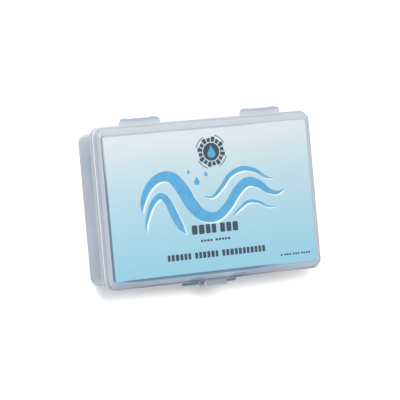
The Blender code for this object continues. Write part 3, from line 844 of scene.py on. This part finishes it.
# ------------------------------------------------------------------ lid label
label_z0, label_z1 = TOP - 0.22, lab_hi[2]
rings = [
    ring(lab_x, lab_y, 1.8, label_z0, 12, cx=-LABEL_TRIM, cy=lab_c),
    ring(lab_x, lab_y, 1.8, label_z1 - 0.02, 12, cx=-LABEL_TRIM, cy=lab_c),
    ring(lab_x - 0.02, lab_y - 0.02, 1.78, label_z1, 12, cx=-LABEL_TRIM, cy=lab_c),
    ring(lab_x - 0.3, lab_y - 0.3, 1.5, label_z1, 12, cx=-LABEL_TRIM, cy=lab_c),
]
label = to_object("front_label", loft(rings))
finish_mesh(label)
dress(label, LABEL, "lid_body", "lid_print", "lid_label")


def flat_group(name, outlines, z0, z1, mat, body, slot):
    """Several flat printed shapes as one piece of separate thin solids."""
    bm = bmesh.new()
    for outline in outlines:
        part = plate(outline, z0, z1)
        mesh = bpy.data.meshes.new("part")
        part.to_mesh(mesh)
        part.free()
        bm.from_mesh(mesh)
        bpy.data.meshes.remove(mesh)
    obj = to_object(name, bm)
    return dress(obj, mat, body, slot)


def strip_group(name, strokes, z0, z1, mat, body, slot, shift=(0.0, 0.0)):
    """Brush strokes: (points, widths) ribbons with pointed ends, as thin solids."""
    bm = bmesh.new()
    for points, widths in strokes:
        left, right = [], []
        n = len(points)
        for i, (x, y) in enumerate(points):
            ax, ay = points[max(i - 1, 0)]
            bx, by = points[min(i + 1, n - 1)]
            dx, dy = bx - ax, by - ay
            size = math.hypot(dx, dy) or 1.0
            nx, ny = -dy / size, dx / size
            w = widths[i] / 2
            left.append((x + nx * w + shift[0], y + ny * w + shift[1]))
            right.append((x - nx * w + shift[0], y - ny * w + shift[1]))
        lv = [[bm.verts.new((x, y, z)) for x, y in left] for z in (z0, z1)]
        rv = [[bm.verts.new((x, y, z)) for x, y in right] for z in (z0, z1)]
        for i in range(n - 1):
            bm.faces.new((lv[1][i], rv[1][i], rv[1][i + 1], lv[1][i + 1]))
            bm.faces.new((lv[0][i], lv[0][i + 1], rv[0][i + 1], rv[0][i]))
            bm.faces.new((lv[0][i], lv[1][i], lv[1][i + 1], lv[0][i + 1]))
            bm.faces.new((rv[0][i], rv[0][i + 1], rv[1][i + 1], rv[1][i]))
        bm.faces.new((lv[0][0], rv[0][0], rv[1][0], lv[1][0]))
        bm.faces.new((lv[0][-1], lv[1][-1], rv[1][-1], rv[0][-1]))
    bmesh.ops.recalc_face_normals(bm, faces=bm.faces)
    obj = to_object(name, bm)
    return dress(obj, mat, body, slot)


def spline(knots, n=14):
    """Catmull-Rom curve through (x, y, width) knots."""
    pts = [Vector(k) for k in knots]
    pts = [pts[0] * 2 - pts[1]] + pts + [pts[-1] * 2 - pts[-2]]
    out = []
    for a, b, c, d in zip(pts, pts[1:], pts[2:], pts[3:]):
        for i in range(n):
            t = i / n
            out.append(0.5 * ((2 * b) + (c - a) * t + (2 * a - 5 * b + 4 * c - d) * t * t
                              + (3 * b - a - 3 * c + d) * t ** 3))
    out.append(pts[-2])
    return [(p.x, p.y) for p in out], [max(0.10, p.z) for p in out]


# A rolling wave in brush strokes that dies away to the right, with three droplets.
main = spline([
    (-38.0, -3.5, 0.1), (-37.2, 2.0, 2.6), (-33.6, 8.6, 3.6), (-27.6, 12.9, 4.4),
    (-20.8, 12.4, 5.6), (-15.6, 6.4, 6.6), (-11.2, -1.6, 6.6), (-5.6, -7.6, 5.6),
    (1.8, -8.6, 4.6), (8.4, -4.0, 4.4), (13.8, 2.6, 4.6), (19.8, 6.8, 4.6), (26.0, 5.4, 4.0),
    (31.0, 1.6, 2.8), (36.0, 0.0, 1.6), (40.0, 1.6, 0.1),
])
echo = spline([
    (-37.0, -13.0, 0.1), (-35.6, -6.4, 1.6), (-32.2, 0.6, 2.4), (-27.6, 4.0, 3.0),
    (-23.8, 0.6, 3.6), (-21.0, -6.2, 4.0), (-18.2, -11.8, 3.2), (-15.6, -15.8, 0.1),
])
crest = spline([
    (-4.0, 1.6, 0.1), (0.6, 1.2, 1.2), (5.6, 5.4, 1.9), (10.8, 11.0, 2.2), (17.6, 13.6, 2.4),
    (24.6, 12.2, 2.0), (30.0, 8.6, 1.1), (34.4, 7.4, 0.1),
])
under = spline([
    (10.0, -9.4, 0.1), (14.6, -6.0, 1.1), (19.6, -3.0, 1.5), (25.0, -3.6, 1.3),
    (30.0, -6.2, 0.8), (34.0, -6.8, 0.1),
])
strokes = [main, echo, crest, under]
ink_z = label_z1
strip_group("art_wave_shadow", strokes, ink_z + 0.002, ink_z + 0.02, INK_WHITE, "lid_body",
            "lid_print", shift=(0.75, -0.75))
strip_group("art_wave", strokes, ink_z + 0.004, ink_z + 0.045, INK_BLUE, "lid_body", "lid_print")


def bars(x0, x1, y, height, words, gap, space):
    """Rows of plain rounded blocks that stand in for lines of print."""
    total = sum(words)
    room = (x1 - x0) - space * (len(words) - 1) - gap * (total - len(words))
    each = room / total
    out, x = [], x0
    rng = random.Random(int(1000 * (x0 + y)))
    for count in words:
        pad = [rng.uniform(-0.12, 0.12) * each for _ in range(count)]
        pad = [p - sum(pad) / count for p in pad]
        for p in pad:
            w = each + p
            out.append(rrect(w / 2, height / 2, min(w, height) * 0.22, 3, x + w / 2, y))
            x += w + gap
        x += space - gap
    return out


slate = bars(-12.4, 12.8, -14.3, 4.6, (4, 3), 0.75, 2.2)
slate += bars(-8.0, 8.0, -20.0, 1.1, (4, 5), 0.5, 1.6)
slate += bars(-26.6, 26.6, -26.9, 3.1, (6, 6, 11), 0.62, 2.2)
slate += bars(35.0, 51.6, -31.3, 0.9, (1, 3, 3, 4), 0.4, 1.0)
flat_group("art_print_lines", slate, ink_z + 0.002, ink_z + 0.03, INK_SLATE, "lid_body", "lid_print")

# Round badge: ring, disc with short rays, and a droplet.
ex, ey = 1.75, 23.3


def circle(cx, cy, r, n=48):
    return [(cx + r * math.cos(math.tau * i / n), cy + r * math.sin(math.tau * i / n))
            for i in range(n)]


def sector(cx, cy, r0, r1, a0, a1, n=5):
    return arc(cx, cy, r1, a0, a1, n) + arc(cx, cy, r0, a1, a0, n)


def droplet(cx, cy, r, n=40):
    out = []
    for i in range(n):
        t = math.tau * i / n
        k = ((1 + math.sin(t)) / 2) ** 2.2
        out.append((cx + r * math.cos(t) * (1 - 0.92 * k), cy + r * math.sin(t) * (1 + 0.55 * k)))
    return out


rays = [sector(ex, ey, 4.9, 7.5 if k % 2 else 6.9, k * 22.5 + 2.2, k * 22.5 + 18.3) for k in range(16)]
flat_group("art_badge_rays", rays, ink_z + 0.002, ink_z + 0.03, INK_SLATE, "lid_body", "lid_print")
flat_group("art_badge_disc", [circle(ex, ey, 4.45)], ink_z + 0.002, ink_z + 0.03, INK_SLATE,
           "lid_body", "lid_print")
sparks = [sector(ex, ey, 5.2, 6.9, k * 22.5 - 0.9, k * 22.5 + 0.9, 2) for k in range(16)]
flat_group("art_badge_drop", [droplet(ex, ey - 0.45, 2.5)] + sparks, ink_z + 0.025, ink_z + 0.05,
           INK_BLUE, "lid_body", "lid_print")
outer = [sector(ex, ey, 8.1, 8.5, a, a + 44, 12) for a in (28, 118, 208, 298)]
flat_group("art_badge_ring", outer, ink_z + 0.002, ink_z + 0.03, INK_SLATE, "lid_body", "lid_print")
drops = [droplet(-7.4, 9.4, 1.7), droplet(-2.2, 12.6, 1.15), droplet(-11.6, 14.4, 0.95)]
flat_group("art_drops", drops, ink_z + 0.002, ink_z + 0.03, INK_BLUE, "lid_body", "lid_print")

# ------------------------------------------------------------------ base label
bz1, bz0 = 0.26, blab_lo[2]
back = to_object("under_label", loft([
    ring(blab_hi[0], blab_hi[1], 2.4, bz1, 12),
    ring(blab_hi[0], blab_hi[1], 2.4, bz0 + 0.02, 12),
    ring(blab_hi[0] - 0.02, blab_hi[1] - 0.02, 2.38, bz0, 12),
    ring(blab_hi[0] - 0.3, blab_hi[1] - 0.3, 2.1, bz0, 12),
]))
finish_mesh(back)
dress(back, PAPER, "base", "base_print", "base_label")
lines = []
rng = random.Random(7)
for row in range(8):
    words, total = [], 0
    while total < 22:
        w = rng.randint(2, 7)
        words.append(w)
        total += w
    lines += bars(-42.0, 18.0 - (14.0 if row in (3, 7) else 0.0), 17.0 - row * 4.6, 1.5,
                  tuple(words), 0.45, 1.3)
flat_group("under_print_lines", lines, bz0 - 0.02, bz0 - 0.001, INK_SLATE, "base", "base_print")
icons = []
for k, y in enumerate((16.0, 0.0, -16.0)):
    icons += [sector(33.0, y, 5.6, 6.2, a, a + 88, 16) for a in (1, 91, 181, 271)]
icons.append(droplet(33.0, 15.2, 2.6))
icons.append(rrect(3.4, 2.0, 0.5, 4, 33.0, 0.0))
icons += [rrect(3.2, 0.4, 0.35, 4, 33.0, -16.0 + d) for d in (-1.8, 0.0, 1.8)]
flat_group("under_icons", icons, bz0 - 0.02, bz0 - 0.001, INK_BLUE, "base", "base_print")
flat_group("under_band", [rrect(44.0, 1.6, 0.4, 4, 0.0, 24.0)], bz0 - 0.02, bz0 - 0.001, INK_BLUE,
           "base", "base_print")

# ------------------------------------------------------------------ clay bar
cx = (bar_lo[0] + bar_hi[0]) / 2
bx, by = (bar_hi[0] - bar_lo[0]) / 2, (bar_hi[1] - bar_lo[1]) / 2
z0, z1 = bar_lo[2], bar_hi[2]


def soft_block(hx, hy, z0, z1, r_plan, r_edge, nx, ny, nz, cx=0.0):
    """A subdivided box pressed onto a rounded-box surface."""
    bm = bmesh.new()
    bmesh.ops.create_cube(bm, size=2.0)
    for axis, cuts in ((0, nx), (1, ny), (2, nz)):
        edges = [e for e in bm.edges
                 if abs(abs(e.verts[0].co[axis] - e.verts[1].co[axis]) - 2.0) < 1e-5]
        bmesh.ops.subdivide_edges(bm, edges=edges, cuts=cuts - 1, use_grid_fill=True)
    hz, cz = (z1 - z0) / 2, (z0 + z1) / 2
    for v in bm.verts:
        x, y, z = v.co
        p = Vector((x * hx, y * hy, z * hz))
        # plan corner
        qx, qy = hx - r_plan, hy - r_plan
        ox, oy = abs(p.x) - qx, abs(p.y) - qy
        if ox > 0 and oy > 0:
            k = max(ox, oy) / math.hypot(ox, oy)
            p.x = math.copysign(qx + ox * k, p.x)
            p.y = math.copysign(qy + oy * k, p.y)
            side = max(ox, oy) / r_plan
        else:
            side = max(ox, oy, 0.0) / r_plan
        inset = r_plan * (1 - side) if side < 1 else 0.0
        # edge rounding between wall and faces
        near_wall = r_edge - inset
        near_face = abs(p.z) - (hz - r_edge)
        if near_wall > 0 and near_face > 0:
            k = max(near_wall, near_face) / math.hypot(near_wall, near_face)
            dw, df = near_wall * (1 - k), near_face * (1 - k)
            p.z = math.copysign(abs(p.z) - df, p.z)
            n = Vector((max(ox, 0.0) * math.copysign(1, p.x), max(oy, 0.0) * math.copysign(1, p.y), 0.0))
            if n.length > 0:
                n.normalize()
                p -= n * dw
        v.co = (p.x + cx, p.y, p.z + cz)
    bmesh.ops.recalc_face_normals(bm, faces=bm.faces)
    return bm


bm = soft_block(bx, by, z0, z1, 3.2, 2.2, 110, 74, 24, cx)
for v in bm.verts:
    p = v.co
    # the pressed block is a little sunk in the middle and uneven along its edges
    u, w = (p.x - cx) / bx, p.y / by
    top = max(0.0, (p.z - (z0 + z1) / 2) / ((z1 - z0) / 2))
    sink = 0.35 * (1 - u * u) * (1 - w * w) * top
    slow = noise.noise(Vector((p.x * 0.045, p.y * 0.06, p.z * 0.09 + 4.0)))
    fine = noise.noise(Vector((p.x * 0.30, p.y * 0.34, p.z * 0.4 + 9.0)))
    dent = 0.22 * slow + 0.05 * fine
    n = v.normal
    p.z -= sink
    v.co = p - n * max(0.0, 0.16 + dent)
bar = to_object("clay_block", bm)
bar.data.shade_smooth()
dress(bar, CLAY, "wrapped_bar", "clay", "clay_bar")

# ------------------------------------------------------------------ film wrap
fx, fy = (film_hi[0] - film_lo[0]) / 2, (film_hi[1] - film_lo[1]) / 2
fz0, fz1 = film_lo[2], film_hi[2]
bm = soft_block(fx - 0.05, fy - 0.05, fz0 + 0.05, fz1 - 0.05, 3.4, 2.3, 120, 80, 24, cx)
for v in bm.verts:
    p = v.co.copy()
    u, w = (p.x - cx) / fx, p.y / fy
    ends = abs(u) ** 6
    ridge = 1 - abs(noise.noise(Vector((p.x * 0.16 + 3, p.y * 0.10, p.z * 0.2)))) * 2
    pull = noise.noise(Vector((p.x * 0.55, p.y * 0.16 + 7, p.z * 0.5)))
    lift = 0.16 * max(0.0, ridge) ** 3 + 0.10 * pull + 0.12 * ends * math.sin(p.y * 1.9 + p.z)
    if p.z > fz1 - 0.8:
        # pressed down under the folded end
        lift -= 0.30 * min(1.0, max(0.0, (abs(p.x - cx) - (fx - 11.6)) / 0.8))
    v.co = p - v.normal * max(0.0, 0.14 - lift) * 0.9
film = to_object("film_sleeve", bm)
skin = film.modifiers.new("skin", "SOLIDIFY")
skin.thickness = 0.05 * MM
skin.offset = -1.0
settle(film)
film.data.shade_smooth()
dress(film, FILM, "wrapped_bar", "clear_film", "film_wrap")

# crimped ends of the sleeve, folded flat onto the top of the bar
for side, tag in ((-1, "left"), (1, "right")):
    bm = bmesh.new()
    rows, cols = 40, 150
    grid = []
    for i in range(rows + 1):
        t = i / rows
        line = []
        for k in range(cols + 1):
            s = k / cols * 2 - 1
            y = s * (fy - 3.0 - 1.2 * t)
            x = cx + side * (fx - 1.6 - 9.0 * t)
            crimp = 0.05 * math.sin(t * rows * 0.9) if t > 0.25 else 0.0
            curl = 0.06 * t * noise.noise(Vector((y * 0.12, side * 5.0, t)))
            pucker = 0.05 * math.sin(y * 1.3 + 2 * t) * (1 - t)
            line.append(bm.verts.new((x, y, fz1 - 0.20 + curl + crimp + pucker)))
        grid.append(line)
    for i in range(rows):
        for k in range(cols):
            bm.faces.new((grid[i][k], grid[i + 1][k], grid[i + 1][k + 1], grid[i][k + 1]))
    bmesh.ops.recalc_face_normals(bm, faces=bm.faces)
    fin = to_object(f"film_fin_{tag}", bm)
    skin = fin.modifiers.new("skin", "SOLIDIFY")
    skin.thickness = 0.08 * MM
    skin.offset = 0.0
    settle(fin)
    fin.data.shade_smooth()
    dress(fin, FILM, "wrapped_bar", "clear_film")

# ------------------------------------------------------------------ floor, light, camera
bm = bmesh.new()
bmesh.ops.create_grid(bm, x_segments=1, y_segments=1, size=2500.0)
bmesh.ops.translate(bm, vec=(0, 0, -0.05), verts=bm.verts)
floor = to_object("floor", bm)
m = Nodes("floor")
m.principled(Base_Color=(0.94, 0.94, 0.94), Roughness=0.9, Specular_IOR_Level=0.0)
floor.data.materials.append(m.mat)

world = bpy.data.worlds.new("studio")
bpy.context.scene.world = world
world.use_nodes = True
background = world.node_tree.nodes["Background"]
background.inputs[0].default_value = (1.0, 1.0, 1.0, 1.0)
background.inputs[1].default_value = 0.83


def area(name, place, aim, size, power, size_y=None, colour=(1, 1, 1)):
    data = bpy.data.lights.new(name, "AREA")
    data.shape = "RECTANGLE"
    data.size = size
    data.size_y = size_y or size
    data.energy = power
    data.color = colour
    obj = bpy.data.objects.new(name, data)
    bpy.context.scene.collection.objects.link(obj)
    obj.location = place
    obj.rotation_euler = (Vector(aim) - Vector(place)).to_track_quat("-Z", "Y").to_euler()
    return obj


area("key", (-0.28, 0.31, 1.15), (0, 0, 0.01), 0.3, 12.2, 0.5)
area("strip", (-0.95, 0.20, 0.55), (0, 0, 0.02), 0.22, 2.6, 1.0)

A, P, ROLL = math.radians(24.77), math.radians(1.57), math.radians(5.06)
FOCAL, DIST, TX, TY = 2368.0, 1193.0, -5.76, 0.12
toward = Vector((-math.sin(A) * math.cos(P), math.sin(P), math.cos(A) * math.cos(P)))
right0 = Vector((0, 1, 0)).cross(toward).normalized()
up0 = toward.cross(right0)
right = math.cos(ROLL) * right0 - math.sin(ROLL) * up0
up = math.sin(ROLL) * right0 + math.cos(ROLL) * up0
place = (-TX * right - TY * up + DIST * toward) * MM
cam = bpy.data.cameras.new("camera")
cam.sensor_width = 36.0
cam.lens = 36.0 * FOCAL / 400.0
cam.clip_start, cam.clip_end = 0.05, 20.0
camera = bpy.data.objects.new("camera", cam)
bpy.context.scene.collection.objects.link(camera)
camera.matrix_world = Matrix((
    (right.x, up.x, toward.x, place.x),
    (right.y, up.y, toward.y, place.y),
    (right.z, up.z, toward.z, place.z),
    (0, 0, 0, 1),
))
bpy.context.scene.camera = camera
view = bpy.context.scene.view_settings
view.view_transform = "Standard"
view.look = "None"
view.exposure = 0.0
view.gamma = 1.0

bpy.context.view_layer.update()
